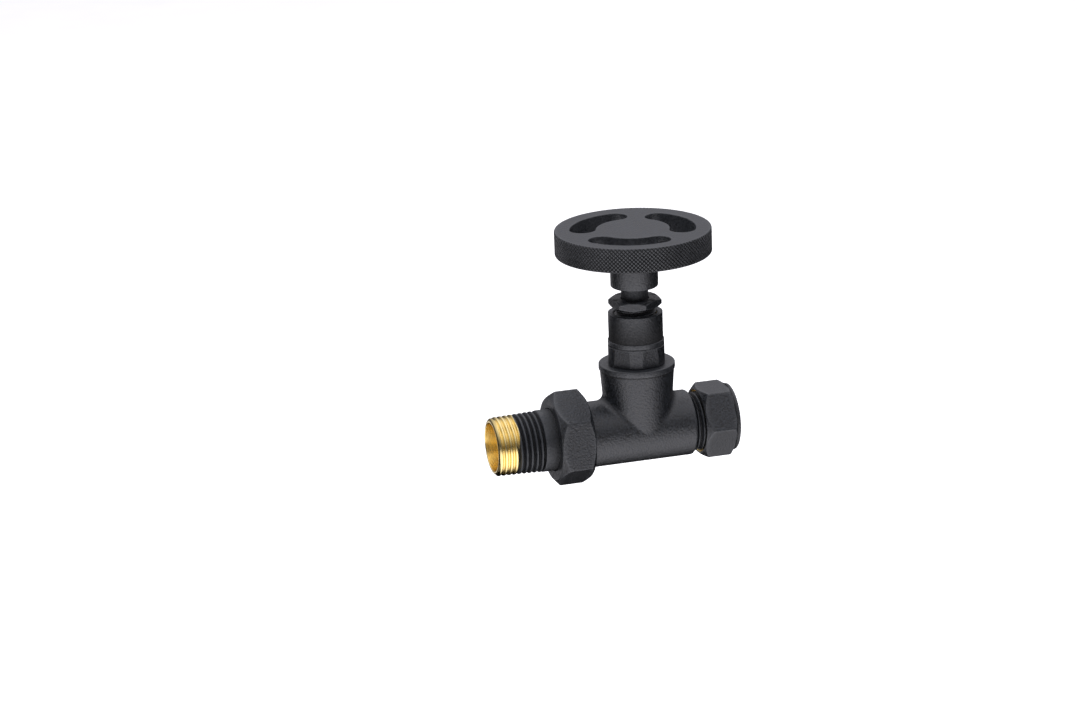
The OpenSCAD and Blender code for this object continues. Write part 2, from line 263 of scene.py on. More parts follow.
def thread_drop(along, angles):
    """Depth below the crest of a right-hand pipe thread, in millimetres.

    Seen from the side that faces the viewer (-Y), crests lie a quarter of a pitch past its multiples.
    """
    offset = np.abs((along / PITCH - angles / TAU) % 1 - 0.5)
    crest = THREAD_ROUND - np.sqrt(np.maximum(THREAD_ROUND ** 2 - offset ** 2, 0))
    root_arc = np.sqrt(np.maximum(THREAD_ROUND ** 2 - (0.5 - offset) ** 2, 0))
    root = THREAD_DEPTH - THREAD_ROUND + root_arc
    flank = THREAD_DEPTH / 2 + (offset - 0.25) * FLANK_SLOPE
    drop = np.where(offset < ROUND_END, crest, np.where(offset > 0.5 - ROUND_END, root, flank))
    return drop * PITCH


def threaded(start, end, start_r, end_r, angles, limit=None, inward=False, shift=0.0, worn=None):
    """Rings of a thread between two places.

    limit caps its crests, as a chamfer does. shift moves it along, and worn is how much of its
    crests is missing at each place.
    """
    count = max(2, round(abs(end - start) / THREAD_STEP))
    rings = []
    for k in range(count + 1):
        along = start + (end - start) * k / count
        radius = start_r + (end_r - start_r) * k / count
        drop = thread_drop(along - shift, angles)
        if worn is not None:
            below = drop - worn(along)
            drop = (below + np.hypot(below, CREST_SOFT)) / 2
        radius = radius + drop if inward else radius - drop
        if limit is not None:
            radius = np.minimum(radius, limit(along))
        rings.append((along, radius))
    return rings


def hexagon(flats, angles, turn, corner_r):
    """Radius at each angle of a hexagon that size across its flats, cut off at corner_r."""
    sixth = TAU / 6
    # a corner lies at the turn angle, and a flat's middle half a side on
    from_middle = np.abs((angles - math.radians(turn)) % sixth - sixth / 2)
    return np.minimum(flats / 2 / np.cos(from_middle), corner_r)


EDGE_SOFT = 0.14        # reach of the rounding between a nut's chamfer and its flats


def hex_rings(flats, corner_r, face, edge, angles, turn):
    """Rings of one chamfered end of a six-sided nut, from its face circle on to its flats.

    face and edge are the cone's (along, radius) at the end face and where it meets the corners.
    """
    side = hexagon(flats, angles, turn, corner_r - 0.06)
    (face_at, face_r), (edge_at, edge_r) = face, edge
    meet = face_at + (side - face_r) / (edge_r - face_r) * (edge_at - face_at)
    way = math.copysign(1, edge_at - face_at)
    slope = (edge_r - face_r) / (edge_at - face_at)
    rings = []
    for share in (0.0, 0.25, 0.5, 0.75):
        along = face_at + share * (meet - way * EDGE_SOFT - face_at)
        rings.append((along, face_r + slope * (along - face_at)))
    rings.append((meet - way * EDGE_SOFT, side - abs(slope) * EDGE_SOFT))
    rings.append((meet - way * EDGE_SOFT * 0.2, side - abs(slope) * EDGE_SOFT * 0.38))
    rings.append((meet + way * EDGE_SOFT * 0.35, side - EDGE_SOFT * 0.08))
    rings.append((meet + way * EDGE_SOFT, side))
    return rings


def hex_nut_rings(flats, corner_r, faces, edges, face_r, angles, turn):
    """Outside rings of a nut chamfered at both ends, from its first face to its last."""
    first = hex_rings(flats, corner_r, (faces[0], face_r[0]), (edges[0], corner_r), angles, turn)
    last = hex_rings(flats, corner_r, (faces[1], face_r[1]), (edges[1], corner_r), angles, turn)
    side = hexagon(flats, angles, turn, corner_r - 0.06)
    middle = []
    for share in np.linspace(0, 1, 8)[1:-1]:
        middle.append((first[-1][0] + share * (last[-1][0] - first[-1][0]), side))
    return first + middle + last[::-1]


# ---------------------------------------------------------------- materials


def node(tree, kind, settings=None, **inputs):
    """Adds a shader node. A socket as an input is linked, anything else is its value."""
    made = tree.nodes.new("ShaderNode" + kind)
    for key, value in (settings or {}).items():
        setattr(made, key, value)
    for key, value in inputs.items():
        socket = made.inputs[key.replace("_", " ")]
        if isinstance(value, bpy.types.NodeSocket):
            tree.links.new(value, socket)
        else:
            socket.default_value = value
    return made


def empty_material(name):
    """A material with only its output, and its tree."""
    material = bpy.data.materials.new(name)
    material.use_nodes = True
    tree = material.node_tree
    tree.nodes.clear()
    return material, tree


def end_material(tree, shader):
    """Links a shader to a new output node."""
    output = tree.nodes.new("ShaderNodeOutputMaterial")
    tree.links.new(shader.outputs[0], output.inputs["Surface"])


def place_noise(tree, size, detail=2.0, stretch=(1, 1, 1)):
    """Noise on the piece's own coordinates, with features of about that size in millimetres."""
    place = node(tree, "TexCoord").outputs["Object"]
    stretched = node(tree, "Mapping", Vector=place, Scale=stretch).outputs[0]
    noise = node(tree, "TexNoise", Vector=stretched, Scale=1 / (size * MM), Detail=detail)
    return noise.outputs["Fac"]


def ranged(tree, value, low, high, from_low=0.3, from_high=0.7, easing="LINEAR"):
    """A value stretched from one range to another, and held at its ends."""
    limits = {"From Min": from_low, "From Max": from_high, "To Min": low, "To Max": high}
    made = node(tree, "MapRange", {"interpolation_type": easing}, Value=value)
    for key, number in limits.items():
        made.inputs[key].default_value = number
    return made.outputs[0]


def calculated(tree, operation, *values):
    """A value worked out by a Math node."""
    made = node(tree, "Math", {"operation": operation})
    for socket, value in zip(made.inputs, values):
        if isinstance(value, bpy.types.NodeSocket):
            tree.links.new(value, socket)
        else:
            socket.default_value = value
    return made.outputs[0]


def mixed(tree, factor, first, second):
    """The first colour at factor 0, the second at factor 1."""
    return node(tree, "MixRGB", Fac=factor, Color1=first, Color2=second).outputs[0]


def shade(tone, share, lift=0.0):
    """A share of a tone, lifted evenly, as a colour with alpha."""
    return tuple(c * share + lift for c in tone) + (1,)


COAT_TONE = (0.0031, 0.0038, 0.005)
COAT_GRAIN = 0.68       # size of the coat's fine texture, in millimetres
COAT_RELIEF = 0.17      # and its height
COAT_PATCH = 6.0        # size of its slow changes of tone
COAT_IOR = 1.65


def coat_parts(tree, dullness=0.0):
    """Colour, roughness and bump of textured powder coat, paler on its edges, rougher in its hollows and
    darkened there by painted shade.
    """
    speckle = place_noise(tree, COAT_GRAIN, detail=4.0)
    patches = place_noise(tree, COAT_PATCH, detail=4.0)
    edge = node(tree, "Attribute", {"attribute_name": "edge"}).outputs["Fac"]
    hollow = node(tree, "Attribute", {"attribute_name": "hollow"}).outputs["Fac"]
    dark = shade(COAT_TONE, 0.15)
    pale = shade(COAT_TONE, 4.6)
    worn = shade(COAT_TONE, 3.5, lift=0.02)
    grains = mixed(tree, ranged(tree, speckle, 0, 1, 0.35, 0.68), dark, pale)
    shaded = mixed(tree, ranged(tree, patches, 0.0, 0.15), grains, pale)
    rubbed = calculated(tree, "MULTIPLY", edge, ranged(tree, patches, 0.35, 0.9))
    # painted shade: the hollow value darkens the coat towards the dark tone in grooves and recesses
    colour = mixed(tree, hollow, mixed(tree, rubbed, shaded, worn), dark)
    fine = ranged(tree, speckle, 0.34 + dullness, 0.52 + dullness)
    roughness = calculated(tree, "ADD", fine, calculated(tree, "MULTIPLY", hollow, 0.3))
    bump = node(tree, "Bump", Strength=1.0, Distance=COAT_RELIEF * MM, Height=speckle).outputs[0]
    return colour, roughness, bump


def powder_coat(name, dullness=0.0):
    """Fine textured anthracite powder coat."""
    material, tree = empty_material(name)
    colour, roughness, bump = coat_parts(tree, dullness)
    end_material(tree, node(tree, "BsdfPrincipled", Base_Color=colour, Roughness=roughness,
                            Normal=bump, IOR=COAT_IOR))
    return material


def metal_parts(tree, tone, rough, axis):
    """Colour, roughness and bump of metal turned about an axis, with fine tool marks."""
    along = {"X": (1, 0.02, 0.02), "Z": (0.02, 0.02, 1)}[axis]
    marks = place_noise(tree, 0.12, detail=3.0, stretch=along)
    patches = place_noise(tree, 3.0, detail=4.0)
    colour = mixed(tree, ranged(tree, patches, 0, 1), shade(tone, 0.9), shade(tone, 1))
    roughness = ranged(tree, marks, rough - 0.05, rough + 0.09)
    bump = node(tree, "Bump", Strength=0.15, Distance=0.02 * MM, Height=marks).outputs[0]
    return colour, roughness, bump


def turned_metal(name, tone, rough, axis):
    """Bare metal with the marks of the lathe."""
    material, tree = empty_material(name)
    colour, roughness, bump = metal_parts(tree, tone, rough, axis)
    end_material(tree, node(tree, "BsdfPrincipled", Base_Color=colour, Roughness=roughness,
                            Normal=bump, Metallic=1.0))
    return material


def half_coated(name, tone, rough):
    """Turned brass under a powder coat that stops where the piece's coated value falls."""
    material, tree = empty_material(name)
    metal_colour, metal_rough, metal_bump = metal_parts(tree, tone, rough, "X")
    coat_colour, coat_rough, coat_bump = coat_parts(tree)
    coated = node(tree, "Attribute", {"attribute_name": "coated"}).outputs["Fac"]
    ragged = ranged(tree, place_noise(tree, 0.5, detail=3.0), -0.12, 0.12)
    cover = ranged(tree, calculated(tree, "ADD", coated, ragged), 0, 1, 0.42, 0.58)
    bare = ranged(tree, cover, 1, 0, 0, 1)
    colour = mixed(tree, cover, metal_colour, coat_colour)
    roughness = mixed(tree, cover, metal_rough, coat_rough)
    normal = mixed(tree, cover, metal_bump, coat_bump)
    end_material(tree, node(tree, "BsdfPrincipled", Base_Color=colour, Roughness=roughness,
                            Normal=normal, Metallic=bare))
    return material


def soft_seal(name, tone, size, bumpiness):
    """Matt rubber or packing, with a fine uneven surface."""
    material, tree = empty_material(name)
    grain = place_noise(tree, size, detail=4.0)
    colour = mixed(tree, ranged(tree, grain, 0, 1), shade(tone, 0.7), shade(tone, 1))
    roughness = ranged(tree, grain, 0.55, 0.8)
    bump = node(tree, "Bump", Strength=bumpiness, Distance=0.05 * MM, Height=grain).outputs[0]
    end_material(tree, node(tree, "BsdfPrincipled", Base_Color=colour, Roughness=roughness, Normal=bump))
    return material


BRASS_TONE = (0.96, 0.765, 0.34)
COAT = powder_coat("black_powder_coat")
STEM_COAT = powder_coat("dull_black_stem", dullness=0.2)
TAIL = half_coated("tail_brass_and_coat", BRASS_TONE, 0.24)
BRASS_X = turned_metal("brass_turned_on_pipe_axis", BRASS_TONE, 0.24, "X")
BRASS_Z = turned_metal("brass_turned_on_spindle_axis", BRASS_TONE, 0.26, "Z")
STEEL = turned_metal("spring_steel", (0.42, 0.42, 0.44), 0.3, "Z")
RUBBER = soft_seal("black_rubber", (0.02, 0.02, 0.02), 0.3, 0.2)
PACKING = soft_seal("graphite_packing", (0.06, 0.06, 0.06), 0.5, 0.6)

# ---------------------------------------------------------------- handwheel

WHEEL_T = 8.4           # height of the rim
HUB_R = 8.2
KNURL_LINES = 124
KNURL_DEPTH = 0.42
KNURL_LAND = 0.66       # share of a line's width that stays uncut
KNURL_SECOND_PASS = 0.88    # depth of the grooves that lean right, against those that lean left
KNURL_SAMPLES = 8       # mesh steps across one knurl line
SLOT_MID_R = 17.1
SLOT_HALF_W = 4.4
SLOT_HALF_ANGLE = 34.0
SLOT_TURN = 7.7
SLOT_COUNT = 3
SLOT_SOFT = 0.45        # rounding of the slots' edges
# The grub screw at the back of the hub
GRUB_TURN = 74.0
GRUB_HEIGHT = 57.5
GRUB_R = 2.0


def knurl_drop(height, angles, rim_r):
    """Depth below the crests of a diamond knurl, at a height up the rim."""
    pitch = TAU * rim_r / KNURL_LINES
    around = angles * rim_r / pitch
    up = height / pitch
    left_leaning = 2 * np.abs((around + up) % 1 - 0.5)
    right_leaning = 2 * np.abs((around - up) % 1 - 0.5)
    groove = np.maximum(left_leaning, KNURL_SECOND_PASS * right_leaning)
    return KNURL_DEPTH * np.clip((groove - KNURL_LAND) / (1 - KNURL_LAND), 0, 1)


def slot_outline(grow, height):
    """One curved slot with round ends, grown outward, at a height."""
    arc_steps, cap_steps = 24, 12
    half_angle = math.radians(SLOT_HALF_ANGLE)
    width = SLOT_HALF_W + grow
    sweep = np.linspace(-half_angle, half_angle, arc_steps)
    half_turn = np.linspace(0, math.pi, cap_steps + 1)[1:-1]

    def arc(radius, angles, x=0.0, y=0.0):
        return [(x + radius * np.cos(a), y + radius * np.sin(a), height) for a in angles]

    def cap(end, first):
        return arc(width, half_turn + first + end, SLOT_MID_R * np.cos(end), SLOT_MID_R * np.sin(end))

    return np.array(arc(SLOT_MID_R + width, sweep) + cap(half_angle, 0.0)
                    + arc(SLOT_MID_R - width, sweep[::-1]) + cap(-half_angle, math.pi))


def slot_cutter(index, foot, top):
    """The shape that cuts one slot, flared at the wheel's faces so that its edges are soft."""
    flare_steps = 5
    flare = [(SLOT_SOFT * (1 - math.sin(t)), SLOT_SOFT * (1 - math.cos(t)))
             for t in np.linspace(0, math.pi / 2, flare_steps)]
    loops = [slot_outline(SLOT_SOFT, foot - 1)]
    loops += [slot_outline(grow, foot + rise) for grow, rise in flare]
    loops += [slot_outline(grow, top - rise) for grow, rise in flare[::-1]]
    loops += [slot_outline(SLOT_SOFT, top + 1)]
    turn = math.radians(SLOT_TURN + 360 / SLOT_COUNT * index)
    spin = np.array(Matrix.Rotation(turn, 3, "Z"))
    return lofted(f"slot_{index}", [loop @ spin.T for loop in loops])


def grub_hole(inner, outer):
    """The shape of the grub screw's hole, between two distances from the spindle axis."""
    turn = math.radians(GRUB_TURN)
    outward = np.array([math.cos(turn), math.sin(turn), 0])
    sideways = np.array([-math.sin(turn), math.cos(turn), 0])
    around = ring_angles(0, 48)
    circle = GRUB_R * (np.outer(np.cos(around), sideways) + np.outer(np.sin(around), (0, 0, 1)))
    circle += (0, 0, GRUB_HEIGHT)
    return lofted("grub_hole", [circle + outward * reach for reach in (inner, outer)])


def make_handwheel():
    """The knurled wheel with its hub, bored for the spindle and cut through by the slots."""
    low, high = span("handwheel")
    rim_r = high.y
    top = high.z
    foot = top - WHEEL_T
    hub_foot = low.z
    bore_r = 4.68
    bore_top = span("spindle")[1].z + 0.2
    edge = 0.45             # rounding of the rim's edges
    face_steps = 24         # rings across each flat face, so that it shades evenly round the slots
    angles = ring_angles(0, KNURL_LINES * KNURL_SAMPLES)
    rings = rounded([
        (bore_top, 0, 0), (bore_top, bore_r, 0), (hub_foot, bore_r, 0.25), (hub_foot, HUB_R, 0.5),
        (foot, HUB_R, 0.9), (foot, HUB_R + 1, 0)
    ])
    face_rings = np.linspace(HUB_R + 1, rim_r - 0.7, face_steps)
    rings += [(foot, radius) for radius in face_rings[1:]]
    row_step = TAU * rim_r / KNURL_LINES / KNURL_SAMPLES
    rows = int((top - foot) / row_step)
    for k in range(rows + 1):
        height = foot + (top - foot) * k / rows
        from_edge = min(height - foot, top - height)
        cap = rim_r - edge * 0.5 * max(0, 1 - from_edge / edge) ** 2
        rings.append((height, np.minimum(cap, rim_r - knurl_drop(height, angles, rim_r))))
    rings += [(top, radius) for radius in face_rings[::-1]]
    rings += [(top, 0)]
    wheel = turned("wheel_casting", rings, "Z", angles, triangles=True)
    slots = [slot_cutter(i, foot, top) for i in range(SLOT_COUNT)]
    return carve(wheel, slots + [grub_hole(3, HUB_R + 1)])


# ---------------------------------------------------------------- tee body

RUN_R = 11.4
RUN_START = -22.0
RUN_END = 18.1
BOSS_ROOT_R = 11.2
BOSS_TOP_R = 12.85
FLANGE_FOOT = 21.95
BOSS_END = FLANGE_FOOT + 1.3    # the boss reaches up into the flange
TEE_BLEND = 2.8         # radius of the fillet between run and boss
TEE_EDGE = 0.9          # and of the outer edges
TEE_VOXEL = 0.36        # mesh size of the tee's skin


def tee_surface(p):
    """Signed distance, in millimetres, to the run and the boss joined by a rolled fillet.

    lean is the cosine of the angle between the two cylinders' normals.
    """
    x, y, z = p.T
    run_r = np.hypot(y, z)
    boss_r = np.hypot(x, y)
    to_run = run_r - RUN_R
    to_boss = boss_r - (BOSS_ROOT_R + (BOSS_TOP_R - BOSS_ROOT_R) * z / FLANGE_FOOT)
    lean = y * y / np.maximum(run_r * boss_r, 1e-9)
    lean = np.clip(lean, -0.999, 0.999)
    a = TEE_BLEND - to_run
    b = TEE_BLEND - to_boss
    inside = (a > b * lean) & (b > a * lean) & (a > 0) & (b > 0)
    reach = np.sqrt(np.maximum(a * a + b * b - 2 * a * b * lean, 0) / (1 - lean ** 2))
    joined = np.where(inside, TEE_BLEND - reach, np.minimum(to_run, to_boss))
    joined = np.where(z > 0, joined, to_run)
    for plane in (x - RUN_END, RUN_START - x, z - BOSS_END):
        u = np.maximum(TEE_EDGE + joined, 0)
        v = np.maximum(TEE_EDGE + plane, 0)
        joined = np.minimum(-TEE_EDGE, np.maximum(joined, plane)) + np.hypot(u, v)
    return joined


def settle(piece, distance, rounds=8):
    """Moves each point of a mesh on to the surface where a distance is zero."""
    mesh = piece.data
    flat = np.empty(len(mesh.vertices) * 3)
    mesh.vertices.foreach_get("co", flat)
    p = (flat.reshape(-1, 3) - np.array(AXES_CROSSING)) / MM
    nudge = 0.01
    for _ in range(rounds):
        here = distance(p)
        slope = np.stack([(distance(p + nudge * e) - distance(p - nudge * e)) / (2 * nudge)
                          for e in np.eye(3)], -1)
        size = np.maximum(np.einsum("ij,ij->i", slope, slope), 0.2)
        p = p - slope * (here / size)[:, None]
    mesh.vertices.foreach_set("co", (p * MM + np.array(AXES_CROSSING)).ravel())
    mesh.update()


def make_tee():
    """The cast middle of the body: run and boss in one skin, with a rolled fillet between them."""
    angles = ring_angles(0, 96)
    run = turned("tee", [(RUN_START, 0), (RUN_START, RUN_R), (RUN_END, RUN_R), (RUN_END, 0)], "X", angles)
    boss = turned("boss", [(0, 0), (0, BOSS_ROOT_R), (BOSS_END, BOSS_TOP_R), (BOSS_END, 0)], "Z", angles)
    carve(run, [boss], "UNION")
    skin = run.modifiers.new("skin", "REMESH")
    skin.mode = "VOXEL"
    skin.voxel_size = TEE_VOXEL * MM
    apply_modifiers(run)
    settle(run, tee_surface)
    return run


def make_body():
    """The cast body: its tee, both threaded ends and the flange, hollowed for the water way."""
    body = make_tee()
    carve(body, [union_end(), pipe_end(), boss_flange()], "UNION")
    hollow_body(body)
    body.name = "cast_body"
    paint(body, body_paint)
    return body


def union_end():
    """The body's end that takes the union nut."""
    face_x = span("valve_body")[0].x
    thread_r = 13.15
    thread_end = -20.9
    angles = ring_angles()
    face = [(face_x + 1, 0), (face_x, 2), (face_x, thread_r - 1.3)]
    thread = threaded(face_x + 0.02, thread_end, thread_r, thread_r, angles,
                      limit=lambda x: min(thread_r - 1.2 + (x - face_x), thread_r))
    root = [(thread_end + 0.5, RUN_R), (thread_end + 2, RUN_R - 1), (thread_end + 2, 0)]
    return turned("union_end", face + thread + root, "X", angles)


def pipe_end():
    """The body's end that takes the compression nut."""
    mouth_x = span("valve_body")[1].x
    thread_r = 10.2
    thread_shift = 0.41
    neck_r = 9.2
    neck_end = 18.45
    angles = ring_angles()
    neck = [(8, 0), (8, neck_r - 1), (RUN_END - 2, neck_r), (neck_end - 0.05, neck_r)]

    def chamfers(x):
        return min(neck_r + 3 * (x - neck_end), thread_r, thread_r + 1.2 * (mouth_x - x) - 1)

    thread = threaded(neck_end, mouth_x, thread_r, thread_r, angles, limit=chamfers, shift=thread_shift)
    return turned("pipe_end", neck + thread + [(mouth_x, 9.2), (mouth_x, 0)], "X", angles)


def boss_flange():
    """The round flange on top of the boss."""
    flange_top, flange_r = span("valve_body")[1].z, span("valve_body")[1].y
    return turned("flange", rounded([
        (FLANGE_FOOT - 1.2, 0, 0), (FLANGE_FOOT - 1.2, BOSS_TOP_R - 1.5, 0),
        (FLANGE_FOOT, BOSS_TOP_R - 0.25, 0), (FLANGE_FOOT + 0.12, BOSS_TOP_R - 0.2, 0),
        (FLANGE_FOOT + 0.2, flange_r, 0.3), (flange_top, flange_r, 0.45), (flange_top, 8, 0),
        (flange_top, 0, 0)
    ]), "Z", ring_angles())


def hollow_body(body):
    """Cuts the water way and the bonnet's hole, and leaves the bridge with its raised seat."""
    low, high = span("valve_body")
    face_x, mouth_x, flange_top = low.x, high.x, high.z
    nose_r, nose_end = 9.1, -21.5
    outlet_r, inlet_r, web_left, web_right = 7.0, 6.8, -8.5, -6.8
    seat_plate, seat_top, seat_r, orifice_r, chamber_r = 1.5, 2.1, 6.2, 4.6, 8.6
    pipe_r, pipe_stop, cone_r, cone_l = 7.6, 11.0, 8.9, 1.8
    bonnet_r, bonnet_foot, recess_r, recess_foot = 9.02, 13.0, 9.35, 22.6
    small = ring_angles(0, 120)
    outlet = turned("outlet", rounded([
        (face_x - 1, 0, 0), (face_x - 1, nose_r, 0), (nose_end, nose_r, 0.4), (nose_end, outlet_r, 0.3),
        (web_left, outlet_r, 1.2), (web_left, 0, 0)
    ]), "X", small)
    over_seat = half_bore("over_seat", outlet_r, web_left - 1.5, 0.5, seat_plate, 1)
    under_seat = half_bore("under_seat", inlet_r, web_right, pipe_stop + 1, 0.0, -1)
    chamber = turned("chamber", [
        (seat_plate, 0), (seat_plate, chamber_r), (bonnet_foot, chamber_r), (bonnet_foot + 0.4, bonnet_r),
        (recess_foot, bonnet_r), (recess_foot, recess_r), (flange_top + 1, recess_r), (flange_top + 1, 0)
    ], "Z", small)
    orifice = turned("orifice", [
        (-1, 0), (-1, orifice_r), (seat_top + 0.5, orifice_r), (seat_top + 0.5, 0)
    ], "Z", small)
    socket = turned("socket", [
        (pipe_stop, 0), (pipe_stop, pipe_r), (mouth_x - cone_l, pipe_r), (mouth_x, cone_r),
        (mouth_x + 1, cone_r), (mouth_x + 1, 0)
    ], "X", small)
    carve(body, [outlet, over_seat, chamber])
    seat = turned("seat", rounded([
        (seat_plate - 0.6, 3.5, 0), (seat_plate - 0.6, seat_r, 0), (seat_top, seat_r, 0.2),
        (seat_top, orifice_r - 0.5, 0.2)
    ]), "Z", small)
    carve(body, [seat], "UNION")
    carve(body, [under_seat, orifice, socket])


def half_bore(name, radius, start, end, level, side):
    """A bore along the pipe axis that keeps only the part above or below a level."""
    edge = math.asin(level / radius)
    if side > 0:
        sweep = np.linspace(edge, math.pi - edge, 40)
    else:
        sweep = np.linspace(math.pi - edge, TAU + edge, 40)
    outline = [(radius * math.cos(t), radius * math.sin(t)) for t in sweep]
    return lofted(name, [np.array([(x, y, z) for y, z in outline]) for x in (start, end)])


def body_paint(c):
    """Bare brass (1) inside the body, coat (0) outside."""
    x, y, z = c.T
    run_bore_r, nose_bore_r, nose_end = 8.95, 9.15, -21
    boss_bore_r, bare_top = 9.4, 24.2
    in_run = (np.hypot(y, z) < run_bore_r) | (np.hypot(y, z) < nose_bore_r) & (x < nose_end)
    in_boss = (np.hypot(x, y) < boss_bore_r) & (z > 0) & (z < bare_top)
    return np.where(in_run | in_boss, 1, 0)


# ---------------------------------------------------------------- bonnet and gland

BONNET_TURN = 12.0      # a corner's angle round the spindle axis
GLAND_TURN = 36.4


def make_bonnet():
    """The bonnet: screwed foot, tapering hexagon, collar and barrel, bored for stem and packing."""
    low, high = span("bonnet")
    foot, top = low.z, high.z
    hex_foot = FLANGE_FOOT + 2.37
    flats = 19.4
    root_r, tip_r = 10.25, 10.1
    collar_z, collar_top, collar_r = 31.0, 32.75, 9.7
    barrel_r = 9.4
    thread_r, thread_top = 9.0, 22.2
    neck_r = 8.0
    gland_r, gland_foot = 7.35, 38.0
    packing_r, packing_foot = 6.6, 34.6
    stem_r, stem_foot = 4.72, 28.2
    lift_r, lift_foot = 5.65, 16.5
    mouth_r = 7.4
    bare_r, bare_top = 7.7, top - 1.5
    angles = ring_angles(BONNET_TURN, 360)
    outside = [(foot, thread_r - 1.2)]
    outside += threaded(foot + 0.1, thread_top, thread_r, thread_r, angles,
                        limit=lambda z: min(thread_r - 1 + (z - foot), thread_r - 0.02))
    outside += [(thread_top + 0.1, neck_r), (hex_foot - 0.02, neck_r)]
    side = hexagon(flats, angles, BONNET_TURN, flats)
    outside += [(hex_foot - 0.02, np.minimum(side, root_r) - 0.25)]
    for share in np.linspace(0, 1, 12):
        height = hex_foot + 0.22 + share * (collar_z - hex_foot - 0.34)
        cone = root_r + (tip_r - root_r) * share
        outside.append((height, np.minimum(side, cone)))
    outside += [(collar_z - 0.02, np.minimum(side, tip_r) - 0.1)]
    outside += rounded([
        (collar_z, collar_r - 0.12, 0), (collar_z + 0.1, collar_r, 0.08), (collar_top, collar_r, 0.25),
        (collar_top + 0.02, barrel_r, 0), (collar_top + 0.1, barrel_r, 0), (top, barrel_r, 0.45)
    ])
    outside += rounded([
        (top, barrel_r - 0.45, 0), (top, gland_r + 0.45, 0.2), (top - 0.45, gland_r, 0.1),
        (gland_foot, gland_r, 0), (gland_foot, packing_r, 0.1), (packing_foot, packing_r, 0.2),
        (packing_foot, stem_r, 0.1), (stem_foot, stem_r, 0), (stem_foot, lift_r, 0), (lift_foot, lift_r, 0),
        (lift_foot, mouth_r, 0.2), (foot, mouth_r, 0)
    ])[1:]
    bonnet = turned("bonnet_casting", outside, "Z", angles)

    def bare(c):
        inside = (np.hypot(c[:, 0], c[:, 1]) < bare_r) & (c[:, 2] < bare_top)
        return np.where(inside | (c[:, 2] < hex_foot - 0.03), 1, 0)

    paint(bonnet, bare)
    return bonnet


def make_gland_nut():
    """The thin nut on top of the bonnet, with its threaded neck."""
    low, high = span("gland_nut")
    neck, top = low.z, high.z
    foot = top - 3.0
    flats = 16.1
    corner_r = flats / math.sqrt(3)
    face_r = corner_r - 1.4
    chamfer = 0.85
    thread_r, root_r, bore_r = 7.3, 6.75, 4.73
    angles = ring_angles(GLAND_TURN, 240)
    outside = hex_nut_rings(flats, corner_r, (foot, top), (foot + chamfer, top - chamfer),
                            (face_r, face_r), angles, GLAND_TURN)
    neck_rings = [(neck, 6.6)] + threaded(neck + 0.05, foot - 0.3, thread_r, thread_r, angles,
                                          limit=lambda z: min(6.7 + (z - neck), thread_r - 0.02))
    neck_rings += [(foot - 0.25, root_r), (foot, root_r)]
    bore = rounded([(top, 5.4, 0), (top, 4.95, 0.1), (top - 0.25, bore_r, 0.05), (neck, bore_r, 0),
                    (neck, 5.2, 0)])
    return turned("gland_nut_turned", neck_rings + outside + bore, "Z", angles)


def make_spindle():
    """The stem, with its lifting thread, O-ring groove and the plug's socket in its foot."""
    low, high = span("spindle")
    foot, top = low.z, high.z
    stem_r, thread_r, nose_r = 4.65, 5.6, 4.4
    thread_foot, thread_top = 12.0, 26.4
    groove_z, groove_half, groove_r = 33.4, 0.8, stem_r - 1.15
    socket_r, socket_top = 2.5, 17.0
    clip_r, clip_foot, clip_top = 3.0, 14.35, 15.25
    angles = ring_angles(0, 144)
    outside = [(foot, 2.6), (foot, nose_r - 0.3), (foot + 0.3, nose_r), (thread_foot - 0.2, nose_r)]
    outside += threaded(thread_foot, thread_top, thread_r, thread_r, angles,
                        limit=lambda z: min(nose_r + (z - thread_foot), thread_r))
    outside += rounded([
        (thread_top + 0.5, stem_r, 0), (groove_z - groove_half, stem_r, 0.1),
        (groove_z - groove_half, groove_r, 0.2), (groove_z + groove_half, groove_r, 0.2),
        (groove_z + groove_half, stem_r, 0.1), (top, stem_r, 0.5), (top, 0, 0)
    ])
    inside = [(socket_top, 0), (socket_top, socket_r), (clip_top, socket_r), (clip_top, clip_r),
              (clip_foot, clip_r), (clip_foot, socket_r)]
    spindle = turned("spindle_turned", inside + outside, "Z", angles)
    return carve(spindle, [grub_hole(4.2, stem_r + 1)])


# ---------------------------------------------------------------- tail, nuts and olive


